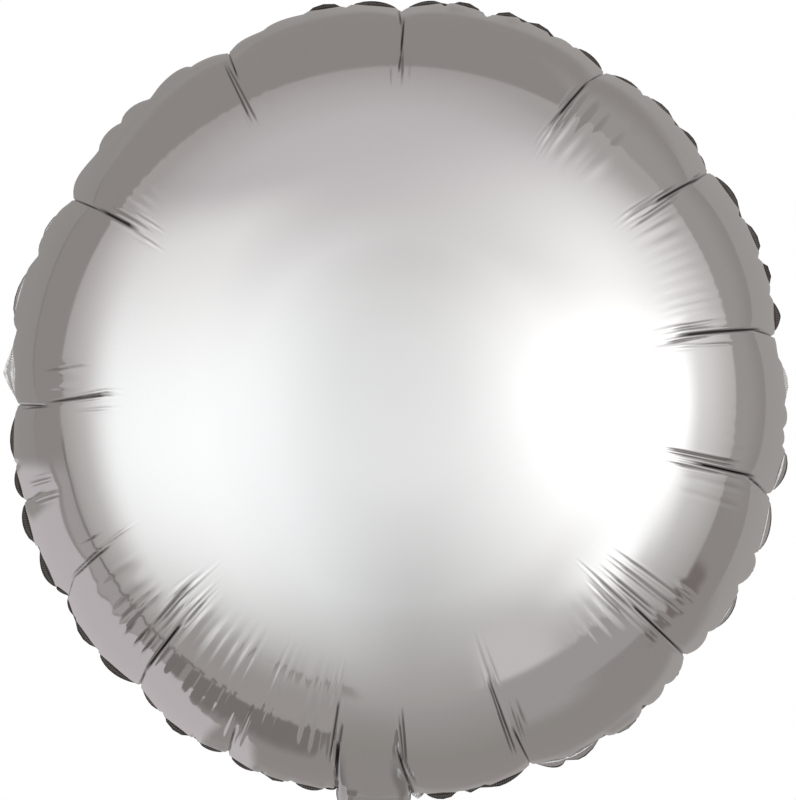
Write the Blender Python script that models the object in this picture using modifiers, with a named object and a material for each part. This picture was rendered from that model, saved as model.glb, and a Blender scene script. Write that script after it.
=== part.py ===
"""Round foil balloon, inflated: two puckered discs of metallised film, each with its half of the neck and
tail, welded together round the rim and down the tail, with a flat self-sealing valve in the tail.

The seam lies in the plane y = 0 and the front of the balloon faces -Y. The origin is where a ribbon is tied
round the top of the tail. Units are metres, angles are degrees measured from +X towards +Z.
"""

import math

import bmesh
import bpy
from mathutils import Vector

# Driving dimensions of the inflated balloon
WELD_RADIUS_WIDE = 0.1735
WELD_RADIUS_TALL = 0.1775
FLANGE_AT_LOBE = 0.0034
FLANGE_AT_NOTCH = 0.0020
FLANGE_UNDER_FILM = 0.0015
TIE_BELOW_RIM = 0.0060
FILM = 0.0006
WELD = 0.0012
GAP = 0.0003

# The tail, and the funnel in which the film runs down into it
TAIL_WIDTH = 0.0240
TAIL_END = -0.0480
TAIL_WELD_WIDTH = 0.0040
TAIL_ANGLE = 270.0
NECK_HALF_ANGLE = 6.0
NECK_ARCH = 0.0120
NECK_BEGINS = 0.80

# The valve, two flat films inside the tail
VALVE_FILM = 0.0004
VALVE_MOUTH = -0.0450
VALVE_TOP = 0.0500

# How far the puckers, the lobes between notches and the pillows between puckers stand in or out
PUCKER_DEPTH = 0.0028
PUCKER_SPREAD = 1.3
LOBE_RISE = 0.0022
LOBE_WIDTH = 6.5
LOBES_BEGIN = 0.90
PILLOW_RISE = 0.0014
PILLOWS_BEGIN = 0.55

# Rows of the film from the middle of the disc to the rim, as slopes of its surface, and the widest column
SLOPES = (0, 6, 16, 28, 40, 52, 64, 76, 90)
LEAST_COLUMNS_PER_LOBE = 3
WIDEST_COLUMN = 2.2

# Rows of the tail below the rim: height, share of the neck's width turned into tail, share of the arch left
TAIL_ROWS = ((0.0020, 0.45, 0.60), (-0.0030, 0.85, 0.20), (-0.0080, 1.0, 0.0), (TAIL_END, 1.0, 0.0))

# Columns: angle of a pucker on the rim, share of the radius that it reaches in to, small notches after it
PUCKERS = (
    (13.0, 0.70, (18.9, 24.5, 31.0)),
    (39.2, 0.75, (47.7, 54.3)),
    (60.9, 0.75, (66.8, 70.1, 74.7, 79.9, 86.0)),
    (92.4, 0.78, (100.2, 106.0, 113.2)),
    (118.8, 0.77, (124.4, 132.4, 137.9, 143.1)),
    (151.4, 0.73, (161.1, 172.5)),
    (183.5, 0.71, (192.3, 197.9, 205.3)),
    (213.5, 0.80, (216.9, 223.1)),
    (230.7, 0.67, (236.4, 242.1)),
    (247.2, 0.83, (253.1, 257.3)),
    (264.0, 0.72, ()),
    (276.0, 0.80, (282.2, 286.0)),
    (292.7, 0.68, (298.3, 304.3, 311.5, 316.0)),
    (321.1, 0.67, (326.2, 334.3, 339.6)),
    (348.6, 0.70, (355.3, 358.3, 362.5, 369.2)),
)

# Columns: name, colour, roughness, metallic
FOIL = ("satin_silver_foil", (0.62, 0.60, 0.59, 1.0), 0.28, 1.0)
WELDED_FOIL = ("welded_foil_edge", (0.50, 0.48, 0.47, 1.0), 0.35, 1.0)
CLEAR_FILM = ("clear_valve_film", (0.85, 0.87, 0.88, 1.0), 0.25, 0.0)

FILM_FOOT = WELD / 2 + GAP
TAIL_FACE = FILM_FOOT + FILM
MEAN_RADIUS = (WELD_RADIUS_WIDE + WELD_RADIUS_TALL) / 2
CENTRE_Z = TIE_BELOW_RIM + WELD_RADIUS_TALL + FLANGE_AT_LOBE
NOTCHES = sorted(a for angle, _, small in PUCKERS for a in (angle, *small))


def clear_scene():
    for obj in list(bpy.data.objects):
        bpy.data.objects.remove(obj)


def new_collection(name):
    collection = bpy.data.collections.new(name)
    bpy.context.scene.collection.children.link(collection)
    return collection


def material(name, colour, roughness, metallic):
    made = bpy.data.materials.new(name)
    made.use_nodes = True
    shader = made.node_tree.nodes["Principled BSDF"]
    shader.inputs["Base Color"].default_value = colour
    shader.inputs["Roughness"].default_value = roughness
    shader.inputs["Metallic"].default_value = metallic
    return made


def smooth(low, high, value):
    share = min(1.0, max(0.0, (value - low) / (high - low)))
    return share * share * (3 - 2 * share)


def turn_between(angle, other):
    """The signed turn from other to angle, from -180 to 180 degrees."""
    return (angle - other + 180.0) % 360.0 - 180.0


def share_between(angle, stops):
    """How far angle lies from the stop before it to the stop after it, 0 to 1, and that gap in degrees."""
    ahead = [(stop - angle - 1e-6) % 360.0 for stop in stops]
    gap = min(ahead) + 360.0 - max(ahead)
    return (360.0 - max(ahead)) / gap, gap


def weld_radius(angle):
    """The rim before it is scalloped, a little taller than it is wide."""
    turn = math.radians(angle)
    return math.hypot(WELD_RADIUS_WIDE * math.cos(turn), WELD_RADIUS_TALL * math.sin(turn))


def inflated_profile(slope, steps=60):
    """Radius and height, for a rim radius of 1, where the surface of an inflated flat disc has this slope."""
    low = math.radians(slope)
    step = (math.pi / 2 - low) / steps
    height = sum(0.5 * math.sqrt(math.sin(low + (i + 0.5) * step)) * step for i in range(steps))
    return math.sqrt(math.sin(low)), height


def lobe(angle):
    """Height of the scalloped rim over its notches, 0 at a notch, in metres."""
    share, gap = share_between(angle, NOTCHES)
    return LOBE_RISE * min(gap / LOBE_WIDTH, 1.3) * 4 * share * (1 - share)


def stand_out(angle, radius_share):
    """How far the film stands out from the smooth disc shape, along its surface normal."""
    share, _ = share_between(angle, [row[0] for row in PUCKERS])
    total = PILLOW_RISE * smooth(PILLOWS_BEGIN, 1.0, radius_share) * 4 * share * (1 - share)
    total += lobe(angle) * smooth(LOBES_BEGIN, 1.0, radius_share)
    for centre, reach, _ in PUCKERS:
        away = turn_between(angle, centre) / PUCKER_SPREAD
        total -= PUCKER_DEPTH * smooth(reach, 1.0, radius_share) * math.exp(-away * away)
    return total


def film_point(angle, slope):
    """A point of the front film's outer face, for an angle round the disc and a slope of its surface."""
    radius_share, height = inflated_profile(slope)
    scale = weld_radius(angle)
    out = stand_out(angle, radius_share)
    tilt = math.radians(slope)
    radius = radius_share * scale + out * math.sin(tilt)
    depth = height * MEAN_RADIUS + out * math.cos(tilt)
    arch = neck_arch(angle) * smooth(NECK_BEGINS, 1.0, radius_share)
    depth = math.hypot(depth, arch)
    turn = math.radians(angle)
    return Vector((radius * math.cos(turn), -depth - FILM_FOOT, CENTRE_Z + radius * math.sin(turn)))


def neck_arch(angle):
    """Height of the neck's opening over the seam plane where it leaves the rim."""
    away = turn_between(angle, TAIL_ANGLE) / NECK_HALF_ANGLE
    return NECK_ARCH * max(0.0, 1 - away * away)


def rim_angles():
    """Angles of the film's columns: each notch, and points between it and the next."""
    angles = []
    for start, end in zip(NOTCHES, NOTCHES[1:] + [NOTCHES[0] + 360.0]):
        count = max(LEAST_COLUMNS_PER_LOBE, math.ceil((end - start) / WIDEST_COLUMN))
        angles += [start + (end - start) * i / count for i in range(count)]
    return angles


def add_grid(columns, rows, place):
    """A grid of columns by rows points, each put where place(column, row) says."""
    grid = bmesh.new()
    bmesh.ops.create_grid(grid, x_segments=columns - 1, y_segments=rows - 1, size=1.0)
    for vert in grid.verts:
        column = round((vert.co.x + 1) / 2 * (columns - 1))
        row = round((vert.co.y + 1) / 2 * (rows - 1))
        vert.co = place(column, row)
    return grid


def finish_mesh(name, grid, finish, collection):
    bmesh.ops.recalc_face_normals(grid, faces=grid.faces)
    mesh = bpy.data.meshes.new(name)
    grid.to_mesh(mesh)
    grid.free()
    mesh.shade_smooth()
    mesh.materials.append(finish)
    obj = bpy.data.objects.new(name, mesh)
    collection.objects.link(obj)
    return obj


def make_film(name, grid, finish, collection, back):
    """A film from the front's outer face, turned to the back if it belongs there, and thickened inwards."""
    if back:
        for vert in grid.verts:
            vert.co.y = -vert.co.y
    obj = finish_mesh(name, grid, finish, collection)
    outward = sum(face.normal.y * face.area for face in obj.data.polygons) * (1 if back else -1)
    if outward < 0:
        obj.data.flip_normals()
    wall = obj.modifiers.new("film", "SOLIDIFY")
    wall.thickness = FILM
    wall.offset = -1.0
    return obj


def make_panel(name, finish, collection, back):
    """The puckered dish, open at the rim."""
    angles = rim_angles()
    grid = add_grid(
        len(angles) + 1,
        len(SLOPES),
        lambda column, row: film_point(angles[column % len(angles)], SLOPES[row]),
    )
    bmesh.ops.remove_doubles(grid, verts=grid.verts, dist=1e-5)
    return make_film(name, grid, finish, collection, back)


def make_tail_film(name, finish, collection, back):
    """The neck and tail, from just under the rim's arch down to the cut end."""
    angles = [a for a in rim_angles() if abs(turn_between(a, TAIL_ANGLE)) < NECK_HALF_ANGLE + 1e-6]
    rim = [film_point(angle, 90) for angle in angles]
    half_neck = rim[-1].x

    def place(column, row):
        if row == 0:
            return rim[column] - Vector((0, 0, GAP))
        height, narrowed, arched = TAIL_ROWS[row - 1]
        half = half_neck + (TAIL_WIDTH / 2 - half_neck) * narrowed
        arch = -rim[column].y - FILM_FOOT
        return Vector((rim[column].x / half_neck * half, -TAIL_FACE - arch * arched, height))

    grid = add_grid(len(angles), len(TAIL_ROWS) + 1, place)
    return make_film(name, grid, finish, collection, back)


def make_rim_seam(finish, collection):
    """The welded flange, a flat scalloped band from one side of the neck round to the other."""
    first = TAIL_ANGLE + NECK_HALF_ANGLE
    last = TAIL_ANGLE - NECK_HALF_ANGLE + 360.0
    clear = math.degrees(GAP / WELD_RADIUS_TALL)
    angles = sorted((a - first) % 360.0 + first for a in rim_angles())
    angles = [a for a in angles if a < last - 1e-6]
    angles = [first + clear, *angles[1:], last - clear]

    def place(column, row):
        angle = angles[column]
        film = film_point(angle, 90) - Vector((0, -FILM_FOOT, CENTRE_Z))
        share = lobe(angle) / LOBE_RISE
        flange = FLANGE_AT_NOTCH + (FLANGE_AT_LOBE - FLANGE_AT_NOTCH) * min(share, 1.0)
        radius = film.length + (flange if row else -FLANGE_UNDER_FILM)
        turn = math.radians(angle)
        return Vector((radius * math.cos(turn), 0, CENTRE_Z + radius * math.sin(turn)))

    obj = finish_mesh("rim_seam", add_grid(len(angles), 2, place), finish, collection)
    wall = obj.modifiers.new("weld", "SOLIDIFY")
    wall.thickness = WELD
    wall.offset = 0.0
    return obj


def flat_strip(name, outline, thickness, middle_y, finish, collection):
    """A flat piece standing in the plane y = middle_y, from its outline in x and z."""
    curve = bpy.data.curves.new(name, "CURVE")
    curve.dimensions = "2D"
    curve.fill_mode = "BOTH"
    curve.extrude = thickness / 2
    spline = curve.splines.new("POLY")
    spline.points.add(len(outline) - 1)
    for point, (x, z) in zip(spline.points, outline):
        point.co = (x, z, 0, 1)
    spline.use_cyclic_u = True
    curve.materials.append(finish)
    obj = bpy.data.objects.new(name, curve)
    obj.rotation_euler = (math.pi / 2, 0, 0)
    obj.location = (0, middle_y, 0)
    collection.objects.link(obj)
    return obj


def make_tail_seams(finish, collection):
    """The weld down each side of the tail, from the rim's end of the seam to the cut end."""
    turn = math.radians(TAIL_ANGLE + NECK_HALF_ANGLE)
    rim_x = weld_radius(TAIL_ANGLE) * math.cos(turn)
    rim_z = CENTRE_Z + weld_radius(TAIL_ANGLE) * math.sin(turn)
    half = TAIL_WIDTH / 2
    inner = half - TAIL_WELD_WIDTH
    for name, side in (("tail_seam_left", -1), ("tail_seam_right", 1)):
        outline = [
            (rim_x - FLANGE_UNDER_FILM - GAP, rim_z + FLANGE_UNDER_FILM),
            (inner, 0.0),
            (inner, TAIL_END),
            (half, TAIL_END),
            (half, -0.0030),
            (rim_x - GAP, rim_z - FLANGE_AT_NOTCH),
        ]
        flat_strip(name, [(side * x, z) for x, z in outline], WELD, 0.0, finish, collection)


def make_valve(finish, collection):
    """Two flat films that the gas inside presses together, between the plies of the tail."""
    half = TAIL_WIDTH / 2 - TAIL_WELD_WIDTH - GAP
    outline = [(-half, VALVE_MOUTH), (half, VALVE_MOUTH), (half, VALVE_TOP), (-half, VALVE_TOP)]
    middle = FILM_FOOT - GAP - VALVE_FILM / 2
    for name, side in (("valve_front_film", -1), ("valve_back_film", 1)):
        flat_strip(name, outline, VALVE_FILM, side * middle, finish, collection)


def main():
    clear_scene()
    balloon = new_collection("round_foil_balloon")
    foil = material(*FOIL)
    welded = material(*WELDED_FOIL)
    clear = material(*CLEAR_FILM)
    make_panel("front_panel", foil, balloon, back=False)
    make_panel("back_panel", foil, balloon, back=True)
    make_tail_film("front_tail_film", foil, balloon, back=False)
    make_tail_film("back_tail_film", foil, balloon, back=True)
    make_rim_seam(welded, balloon)
    make_tail_seams(welded, balloon)
    make_valve(clear, balloon)


main()
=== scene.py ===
import math

import bmesh
import bpy
import numpy as np
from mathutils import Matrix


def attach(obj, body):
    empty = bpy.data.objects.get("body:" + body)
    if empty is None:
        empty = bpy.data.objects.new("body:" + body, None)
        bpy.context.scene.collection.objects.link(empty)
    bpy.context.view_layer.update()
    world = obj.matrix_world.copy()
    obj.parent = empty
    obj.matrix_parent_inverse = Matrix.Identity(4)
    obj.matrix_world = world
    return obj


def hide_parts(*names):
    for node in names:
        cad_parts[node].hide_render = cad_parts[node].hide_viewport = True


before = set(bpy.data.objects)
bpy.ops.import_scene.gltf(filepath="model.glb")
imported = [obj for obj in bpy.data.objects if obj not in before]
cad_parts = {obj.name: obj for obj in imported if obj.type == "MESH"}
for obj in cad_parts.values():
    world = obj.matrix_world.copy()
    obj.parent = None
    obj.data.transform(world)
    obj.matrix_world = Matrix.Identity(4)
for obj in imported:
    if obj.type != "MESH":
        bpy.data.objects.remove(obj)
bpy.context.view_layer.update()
mm = 0.001


# Small helpers, and settings that many nodes share

smooth = {"interpolation_type": "SMOOTHSTEP"}
rgba = {"data_type": "RGBA"}
multiply = {"operation": "MULTIPLY"}


def addNode(tree, kind, settings=None, inputs=None):
    node = tree.nodes.new(kind)
    for name, value in (settings or {}).items():
        setattr(node, name, value)
    for key, value in (inputs or {}).items():
        if isinstance(value, bpy.types.NodeSocket):
            tree.links.new(value, node.inputs[key])
        else:
            node.inputs[key].default_value = value
    return node


def newMaterial(name):
    material = bpy.data.materials.new(name)
    material.use_nodes = True
    material.node_tree.nodes.clear()
    return material, material.node_tree


def newObject(name, data):
    obj = bpy.data.objects.new(name, data)
    bpy.context.scene.collection.objects.link(obj)
    return obj


def linearColour(hexText):
    channels = [int(hexText[i:i + 2], 16) / 255 for i in (1, 3, 5)]
    return [c / 12.92 if c <= 0.04045 else ((c + 0.055) / 1.055) ** 2.4 for c in channels] + [1.0]


def smoothStep(low, high, value):
    share = np.clip((value - low) / (high - low), 0.0, 1.0)
    return share * share * (3.0 - 2.0 * share)


def turnBetween(angle, other):
    return (np.asarray(angle) - other + 180.0) % 360.0 - 180.0


def facesBetween(*corners):
    # one face for each place in these equal grids of point numbers
    return np.stack(corners, axis=-1).reshape(-1, len(corners)).tolist()


def storeOnPoints(mesh, values):
    # one number or one vector a point, which node trees and materials read by name
    for name, value in values.items():
        kind, member = ("FLOAT_VECTOR", "vector") if value.ndim == 2 else ("FLOAT", "value")
        mesh.attributes.new(name, kind, "POINT").data.foreach_set(member, value.astype(np.float32).ravel())


# Camera, level with the middle of the disc. The balloon hangs a little turned in the picture.

view = {
    "distance": 1.8,  # from the eye to the seam
    "imageWidth": 0.3669,  # what the long side of the picture spans at the seam
    "tilt": 3.0,
    "sensor": 36.0,
    "farthest": 50.0,
    "middle": 0.1869,  # height of the middle of the disc over the tie
}


def makeCamera():
    data = bpy.data.cameras.new("camera")
    data.sensor_width = view["sensor"]
    data.lens = view["sensor"] * view["distance"] / view["imageWidth"]
    data.clip_end = view["farthest"]
    camera = newObject("camera", data)
    camera.location = (0, -view["distance"], view["middle"])
    camera.rotation_euler = (math.radians(90), math.radians(-view["tilt"]), 0)
    bpy.context.scene.camera = camera


# Studio: what the film mirrors. Two soft boxes stand in front, under a pale ceiling, over a pale floor,
# and the back of the room is dark. Directions are degrees from the lens, round it, and as a compass; x,
# left and y are parts of a direction of length one, y away from the eye, and behind is y less the bow.

studio = {
    "strength": 1.2,
    "ceiling": (  # degrees from the lens, colour
        (0, "#504F4E"), (10, "#ACAAA9"), (20, "#C7C4C4"), (30, "#C0BCBD"), (45, "#B9B4B6"), (60, "#B5B0B2"),
        (75, "#A8A4A3"), (88, "#9B9594"), (100, "#9A9492"), (180, "#8A8482"),
    ),
    "floor": (
        (0, "#AFAFAF"), (10, "#9F9E9E"), (20, "#ADACAC"), (30, "#B7B6B6"), (42, "#ADABAA"), (56, "#A3A09F"),
        (66, "#9D9A98"), (77, "#959190"), (88, "#8F8B88"), (106, "#87837F"), (130, "#87817F"),
        (180, "#8E8986"),
    ),
    "horizon": 0.28,  # how softly the floor gives way to the ceiling
    "bow": 0.17,  # how far the dark back of the room draws back at the sides
    "gains": {"rightBox": 1.40, "leftBox": 1.27},  # the soft boxes are brighter than white
    # Colour, then windows: what is measured, where it begins, is full, starts to end and has ended. Two
    # numbers leave it without an end, and one that begins under -180 degrees or -1 is open from the start.
    "panels": {
        "rightFlank": ("#FFFEFC", ("azimuth", -5, 49, 24, 122), ("elevation", -60, 6, 9, 60)),
        "leftFlank": ("#D9D7D6", ("azimuth", -112, -40, -34, -8), ("elevation", -53, -16, 26, 41)),
        "rightBox": ("#FFFFFF", ("azimuth", -47, 62, 58, 75), ("elevation", -38, 8, -2, 21)),
        "leftBox": ("#FBFEFF", ("azimuth", -83, -61, -16, 6), ("elevation", -75, 62, -16, 32)),
        "upperCorner": ("#9E9A98", ("azimuth", 50, 84, 150, 170), ("elevation", 28, 42, 60, 78),
                        ("behind", -0.60, -0.10)),
        "leftCorner": ("#9D9896", ("left", 0.4, 0.6), ("elevation", 28, 36, 46, 56),
                       ("behind", -0.22, -0.10)),
        "lowShade": ("#938E8B", ("fromLens", 56, 80, 100, 112), ("round", -134, -130, -104, -97)),
        "floorEdge": ("#959190", ("fromLens", 68.0, 70.5, 92, 104), ("round", -71, -69.5, -44, -41)),
        "darkBack": ("#87827F", ("behind", -0.055, -0.040), ("elevation", -60, -50)),
        "rightBand": ("#928E8C", ("behind", -0.055, -0.040), ("y", -1.1, -1.0, 0.22, 0.60),
                      ("x", 0.2, 0.45), ("elevation", -20, -8, 50, 60)),
        "leftBand": ("#989392", ("y", 0.05, 0.06, 0.26, 0.32), ("left", 0.0, 0.1),
                     ("elevation", -40, -37, -13, -8)),
        "farWall": ("#94908E", ("y", 0.55, 0.57), ("elevation", -30, -20, 26, 38)),
        "leftWall": ("#8A8684", ("y", 0.55, 0.57), ("left", 0.0, 0.25),
                     ("elevation", -30, -20, 26, 38)),
        "shelf": ("#716C69", ("fromLens", 91, 93, 108, 121),
                  ("round", -132.5, -131.5, -102.5, -101.5)),
        "lowPanel": ("#AFA9AB", ("round", -170.5, -165.6, -119, -114),
                     ("azimuth", -301, -300, -112, -111), ("elevation", -49, -47.5, 5, 6),
                     ("y", -1.2, -1.1, 0.955, 0.992)),
        "darkCorner": ("#6F6866", ("azimuth", 95, 98, 106, 115), ("elevation", -42, -39, -28, -26)),
        "skirting": ("#6E6866", ("behind", -0.075, -0.062, -0.048, -0.038),
                     ("left", 0.0, 0.1), ("elevation", -60, -50, -8, -3)),
        "lowerRight": ("#FFFFFF", ("azimuth", 28, 48, 52, 64), ("elevation", -39, -27, -12, 4)),
        "paleStrip": ("#B9B6B5", ("fromLens", 38, 50, 66, 69), ("round", -76, -68, -60, -52)),
        "leftLine": ("#7E7976", ("y", 0.535, 0.55, 0.56, 0.575), ("left", 0.3, 0.4),
                     ("elevation", -4, 2, 24, 32)),
        "tableEdge": ("#8F8A88", ("fromLens", 62.5, 63.5, 65.0, 71.0), ("azimuth", -43, -40, -20, -15),
                      ("elevation", -70, -66, -52, -48)),
    },
    "floorHeight": -0.35,
    "floorRadius": 2.9,
    "floorSides": 96,
    "floorFade": (0.35, 0.95),  # shares of the radius between which the paper turns white
    "floorColour": "#F1F1EF",
    "lampHeight": 2.4,
    "lampSize": 3.0,
    "lampPower": 60.0,
}


def makeSurroundings():
    world = bpy.data.worlds.new("studio")
    bpy.context.scene.world = world
    world.use_nodes = True
    tree = world.node_tree
    tree.nodes.clear()
    direction = addNode(tree, "ShaderNodeTexCoord").outputs["Generated"]
    level = addNode(tree, "ShaderNodeMapping", {"vector_type": "POINT"}, {
        "Vector": direction, "Rotation": (0, math.radians(view["tilt"]), 0)})
    axes = addNode(tree, "ShaderNodeSeparateXYZ", inputs={0: level.outputs[0]}).outputs
    sums = {"x": axes[0], "y": axes[1], "z": axes[2]}
    for name, operation, *terms in (
        ("ahead", "MULTIPLY", "y", -1.0),
        ("lensTurn", "ARCCOSINE", "ahead"),
        ("fromLens", "DEGREES", "lensTurn"),
        ("compass", "ARCTAN2", "x", "ahead"),
        ("azimuth", "DEGREES", "compass"),
        ("rise", "ARCSINE", "z"),
        ("elevation", "DEGREES", "rise"),
        ("halfTurn", "DIVIDE", "fromLens", 180.0),
        ("xSquared", "MULTIPLY", "x", "x"),
        ("behind", "MULTIPLY_ADD", "xSquared", -studio["bow"], "y"),
        ("left", "MULTIPLY", "x", -1.0),
        ("clock", "ARCTAN2", "z", "x"),
        ("round", "DEGREES", "clock"),
    ):
        inputs = {i: sums.get(term, term) for i, term in enumerate(terms)}
        sums[name] = addNode(tree, "ShaderNodeMath", {"operation": operation}, inputs).outputs[0]
    shades = []
    for part in ("ceiling", "floor"):
        ramp = addNode(tree, "ShaderNodeValToRGB", inputs={0: sums["halfTurn"]})
        stops = ramp.color_ramp.elements
        for i, (angle, colour) in enumerate(studio[part]):
            stop = stops[i] if i < 2 else stops.new(angle / 180)
            stop.position = angle / 180
            stop.color = linearColour(colour)
        shades.append(ramp.outputs[0])
    above = addNode(tree, "ShaderNodeMapRange", smooth, {
        0: sums["z"], 1: -studio["horizon"], 2: studio["horizon"]})
    shade = addNode(tree, "ShaderNodeMix", rgba, {
        0: above.outputs[0], 6: shades[1], 7: shades[0]}).outputs[2]
    for name, (colour, *windows) in studio["panels"].items():
        share = 1.0
        for measure, *limits in windows:
            for low, high, first, last in zip(limits[::2], limits[1::2], (0.0, 1.0), (1.0, 0.0)):
                edge = addNode(tree, "ShaderNodeMapRange", smooth, {
                    0: sums[measure], 1: low, 2: high, 3: first, 4: last})
                share = addNode(tree, "ShaderNodeMath", multiply, {0: share, 1: edge.outputs[0]}).outputs[0]
        gain = studio["gains"].get(name, 1.0)
        shade = addNode(tree, "ShaderNodeMix", rgba, {
            0: share, 6: shade, 7: [gain * channel for channel in linearColour(colour)]}).outputs[2]
    room = addNode(tree, "ShaderNodeBackground", inputs={0: shade, 1: studio["strength"]})
    backdrop = addNode(tree, "ShaderNodeBackground", inputs={0: (1, 1, 1, 1), 1: 1.0})
    rays = addNode(tree, "ShaderNodeLightPath").outputs["Is Camera Ray"]
    seen = addNode(tree, "ShaderNodeMixShader", inputs={
        0: rays, 1: room.outputs[0], 2: backdrop.outputs[0]})
    addNode(tree, "ShaderNodeOutputWorld", inputs={0: seen.outputs[0]})
    bpy.context.scene.view_settings.view_transform = "Standard"


def makeFloor():
    material, tree = newMaterial("mattPaperFloor")  # pale paper sweep, fading to white at its edge
    place = addNode(tree, "ShaderNodeTexCoord").outputs["Object"]
    reach = addNode(tree, "ShaderNodeVectorMath", {"operation": "LENGTH"}, {0: place}).outputs["Value"]
    radius, sides = studio["floorRadius"], studio["floorSides"]
    near, far = (radius * share for share in studio["floorFade"])
    fade = addNode(tree, "ShaderNodeMapRange", smooth, {
        0: reach, 1: near, 2: far})
    paper = addNode(tree, "ShaderNodeBsdfDiffuse", inputs={0: linearColour(studio["floorColour"])})
    white = addNode(tree, "ShaderNodeEmission", inputs={0: (1, 1, 1, 1), 1: 1.0})
    mixed = addNode(tree, "ShaderNodeMixShader", inputs={
        0: fade.outputs[0], 1: paper.outputs[0], 2: white.outputs[0]})
    addNode(tree, "ShaderNodeOutputMaterial", inputs={0: mixed.outputs[0]})
    turns = [2 * math.pi * i / sides for i in range(sides)]
    points = [(radius * math.cos(turn), radius * math.sin(turn), studio["floorHeight"]) for turn in turns]
    mesh = bpy.data.meshes.new("floor")
    mesh.from_pydata(points, [], [list(range(sides))])
    mesh.materials.append(material)
    floor = newObject("floor", mesh)
    floor.visible_glossy = False
    lamp = bpy.data.lights.new("overheadLamp", "AREA")
    lamp.shape = "DISK"
    lamp.size = studio["lampSize"]
    lamp.energy = studio["lampPower"]
    overhead = newObject("overheadLamp", lamp)
    overhead.location = (0, 0, studio["lampHeight"])
    overhead.visible_glossy = False


makeCamera()
makeSurroundings()
makeFloor()
print("camera, surroundings and floor")


# Film: two flat discs welded at the rim and blown up. The welded rim puckers into lobes between notches,
# and from the deeper notches a crease runs in over the film.

film = {
    "rimWide": 0.1766, "rimTall": 0.1807, "rimTurn": 3.0,  # half the smooth rim each way, and its tilt
    "thickness": 0.00015,
    "lobeFade": 0.026,  # how far in along the film a lobe still shows
    "lobeRound": 0.80,  # under 1 for a lobe with a blunt crest
    "pointed": ((172.6, 1.15), (12.7, 1.5), (274.9, 1.2)),  # notches of crumpled lobes, how sharp each is
    "lobeBlend": 0.0004,  # how softly a lobe flattens where bare weld stands out past it
    "bulge": 0.0004,  # how much wider the film looks than its weld line, because it stands nearer the eye
    "pinch": 0.0030, "pinchWide": 3.2, "pinchFade": 0.072,  # a crease draws the film in more than a lobe
    "tuck": 0.0018, "tuckFade": 0.009,  # the film bulges over the weld by this much
    "pillow": 0.0005, "pillowBegins": 0.84, "pillowFlat": 2.5,  # the swell between two creases
    "seamWave": 0.0011, "seamFade": 0.022,  # neighbouring lobes lean to the front and to the back
    "kickShare": 0.075, "slantShare": 0.28,  # shares of the radius over which a crease turns
    "foldStart": (-0.02, 0.015), "foldEnd": (-0.008, 0.018),  # a fold fades there, round each end's share
    "foldWidth": 0.74,  # all folds are this much of the width in their table
    "lip": 0.30, "lipAway": 2.0,  # a fold throws up this share of its depth, this many widths to each side
    "paintedShadeGain": 1.5, "paintedShadeWidth": 0.8,  # a fold's dark line of painted shade
    "rippleEnds": 2.0, "rippleInner": 0.06, "rippleOuter": 0.04,  # over what angle and shares they fade
    "blown": {  # inputs of the node tree
        "Foot": 0.0003,  # outer face of the film over the seam's middle, at the weld
        "Ripple Pitch": 2.3, "Ripple Depth": 0.00036,  # degrees from one to the next
        "Ripple Wander": 2.5, "Wander Per Degree": 0.21,  # how unevenly they follow each other
        "Crinkle Depth": 0.00003, "Crinkles Per Metre": 60.0,  # each about 17 mm wide
    },
    "columnFinest": 0.095, "columnGrowth": 0.12, "columnWidest": 0.80,  # degrees, growing off the creases
    "rows": (  # mm along the film from the rim in
        0, 1.5, 3.5, 6, 9, 13, 18, 23, 28, 33, 38, 43, 48, 53, 57, 61, 65, 69, 73, 77, 81, 85, 89, 93, 97,
        101, 106, 112, 120, 130, 142, 156, 172, 190, 208,
    ),
    # the folds' colour is painted shade, mixed into the film's base colour
    "colour": "#EEEEEE", "paintedFoldShadeColour": "#1F1C1B",
    "roughness": (0.055, 0.085), "hazePerMetre": 35.0,  # the gloss varies in patches of about 30 mm
    "hazeRange": (0.3, 0.7),  # what the noise mostly runs between
}
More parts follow.
